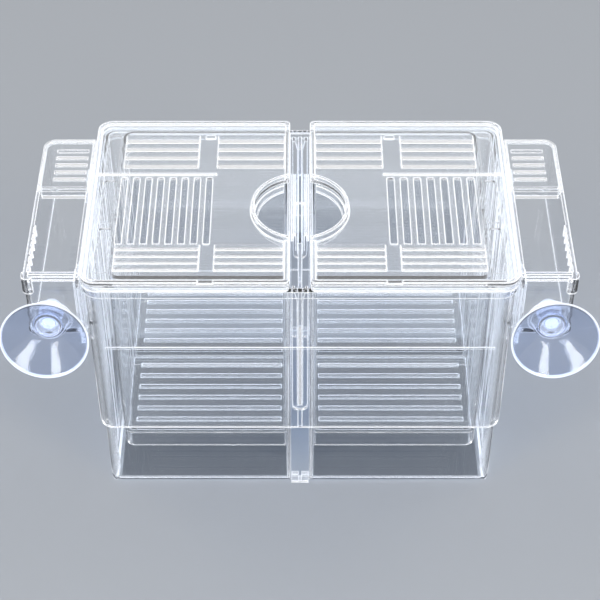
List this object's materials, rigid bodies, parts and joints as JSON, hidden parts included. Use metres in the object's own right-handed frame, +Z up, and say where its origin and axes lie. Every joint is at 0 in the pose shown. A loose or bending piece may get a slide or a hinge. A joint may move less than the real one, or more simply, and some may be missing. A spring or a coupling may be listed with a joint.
{
  "type": "fish breeding box",
  "caption": "Hang-on aquarium breeding box: clear open sleeve with deep fry rooms, slotted hanging trays, vented lids, a lift-out middle wall and side chambers with suction cups.",
  "frame": {"origin": "middle of the whole box seen from above, suction cups included, at the height of the rooms' flat undersides", "axes": "+X to the right seen from the front, -Y out of the front (the side the suction cups face), +Z up"},
  "size_m": [0.2762, 0.1372, 0.1507],
  "materials": {
    "clear_sleeve": "clear colourless moulded polystyrene, polished",
    "clear_room": "clear colourless moulded polystyrene, polished",
    "clear_tray": "clear colourless moulded polystyrene, polished",
    "clear_plate": "clear colourless moulded polystyrene, slotted",
    "clear_lid": "clear colourless moulded polystyrene, ribbed",
    "clear_divider": "clear colourless moulded polystyrene",
    "clear_chamber": "clear colourless moulded polystyrene, polished",
    "soft_cup": "soft clear vinyl with a blue cast, glossy"
  },
  "bodies": {
    "sleeve": {"sleeve": "clear_sleeve"},
    "spacer": {"spacer": "clear_divider", "spacer_grip": "clear_divider"},
    "room_left": {"room_left": "clear_room"},
    "room_right": {"room_right": "clear_room"},
    "tray_left": {"tray_left": "clear_tray"},
    "tray_right": {"tray_right": "clear_tray"},
    "plate_front_left": {"plate_front_left": "clear_plate"},
    "plate_rear_left": {"plate_rear_left": "clear_plate"},
    "plate_front_right": {"plate_front_right": "clear_plate"},
    "plate_rear_right": {"plate_rear_right": "clear_plate"},
    "lid_left": {"lid_left": "clear_lid"},
    "lid_right": {"lid_right": "clear_lid"},
    "clip_front": {"clip_front": "clear_divider"},
    "clip_rear": {"clip_rear": "clear_divider"},
    "chamber_left": {"chamber_left": "clear_chamber"},
    "chamber_right": {"chamber_right": "clear_chamber"},
    "cover_left": {"cover_left": "clear_lid"},
    "cover_right": {"cover_right": "clear_lid"},
    "suction_cup_left": {"suction_cup_left": "soft_cup"},
    "suction_cup_right": {"suction_cup_right": "soft_cup"}
  },
  "joints": [
    {"name": "room_left_lift", "type": "slide", "parent": "sleeve", "child": "room_left", "axis": [0, 0, 1], "range_m": [0, 0.1]},
    {"name": "tray_left_lift", "type": "slide", "parent": "room_left", "child": "tray_left", "axis": [0, 0, 1], "range_m": [0, 0.12]},
    {"name": "plate_front_left_lift", "type": "slide", "parent": "tray_left", "child": "plate_front_left", "axis": [0, 0, 1], "range_m": [0, 0.08]},
    {"name": "plate_rear_left_lift", "type": "slide", "parent": "tray_left", "child": "plate_rear_left", "axis": [0, 0, 1], "range_m": [0, 0.08]},
    {"name": "lid_left_lift", "type": "slide", "parent": "tray_left", "child": "lid_left", "axis": [0, 0, 1], "range_m": [0, 0.04]},
    {"name": "chamber_left_lift", "type": "slide", "parent": "sleeve", "child": "chamber_left", "axis": [0, 0, 1], "range_m": [0, 0.045]},
    {"name": "cover_left_lift", "type": "slide", "parent": "chamber_left", "child": "cover_left", "axis": [0, 0, 1], "range_m": [0, 0.025]},
    {"name": "suction_cup_left_rock", "type": "hinge", "parent": "chamber_left", "child": "suction_cup_left", "pos_m": [-0.1173, -0.04249, 0.1215], "axis": [1, 0, 0], "range_deg": [-3, 16]},
    {"name": "room_right_lift", "type": "slide", "parent": "sleeve", "child": "room_right", "axis": [0, 0, 1], "range_m": [0, 0.1]},
    {"name": "tray_right_lift", "type": "slide", "parent": "room_right", "child": "tray_right", "axis": [0, 0, 1], "range_m": [0, 0.12]},
    {"name": "plate_front_right_lift", "type": "slide", "parent": "tray_right", "child": "plate_front_right", "axis": [0, 0, 1], "range_m": [0, 0.08]},
    {"name": "plate_rear_right_lift", "type": "slide", "parent": "tray_right", "child": "plate_rear_right", "axis": [0, 0, 1], "range_m": [0, 0.08]},
    {"name": "lid_right_lift", "type": "slide", "parent": "tray_right", "child": "lid_right", "axis": [0, 0, 1], "range_m": [0, 0.04]},
    {"name": "chamber_right_lift", "type": "slide", "parent": "sleeve", "child": "chamber_right", "axis": [0, 0, 1], "range_m": [0, 0.045]},
    {"name": "cover_right_lift", "type": "slide", "parent": "chamber_right", "child": "cover_right", "axis": [0, 0, 1], "range_m": [0, 0.025]},
    {"name": "suction_cup_right_rock", "type": "hinge", "parent": "chamber_right", "child": "suction_cup_right", "pos_m": [0.1173, -0.04249, 0.1215], "axis": [1, 0, 0], "range_deg": [-3, 16]},
    {"name": "spacer_lift", "type": "slide", "parent": "sleeve", "child": "spacer", "axis": [0, 0, 1], "range_m": [0, 0.085]},
    {"name": "clip_front_pull", "type": "slide", "parent": "sleeve", "child": "clip_front", "axis": [0, -1, 0], "range_m": [0, 0.015]},
    {"name": "clip_rear_pull", "type": "slide", "parent": "sleeve", "child": "clip_rear", "axis": [0, 1, 0], "range_m": [0, 0.015]}
  ]
}
